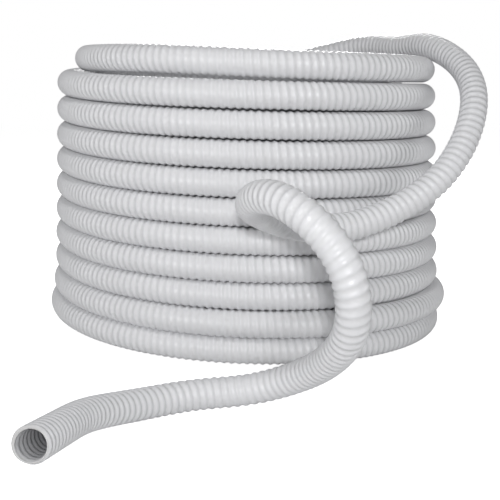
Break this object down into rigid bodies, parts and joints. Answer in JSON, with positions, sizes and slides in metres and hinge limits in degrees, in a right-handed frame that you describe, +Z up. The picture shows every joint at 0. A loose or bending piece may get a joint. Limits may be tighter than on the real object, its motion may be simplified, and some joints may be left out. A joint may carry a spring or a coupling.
{
  "type": "vacuum hose",
  "caption": "Long ribbed suction hose wound into an upright two-column coil, with a loose length that loops down over the floor to an open end.",
  "frame": {"origin": "centre of the whole hose's outer box, on the floor that the coil stands on", "axes": "+Y from the loose end towards the back of the coil, +X to the right of that, +Z up along the coil's axis"},
  "size_m": [0.8076, 1.2933, 0.5621],
  "materials": {
    "hose_wall": "satin",
    "rigid_spiral": "satin"
  },
  "bodies": {
    "root": {"wound_coil": "hose_wall", "free_stretch": "hose_wall", "free_end_wall": "hose_wall", "free_end_spiral": "rigid_spiral", "inner_end_wall": "hose_wall", "inner_end_spiral": "rigid_spiral"}
  },
  "joints": []
}
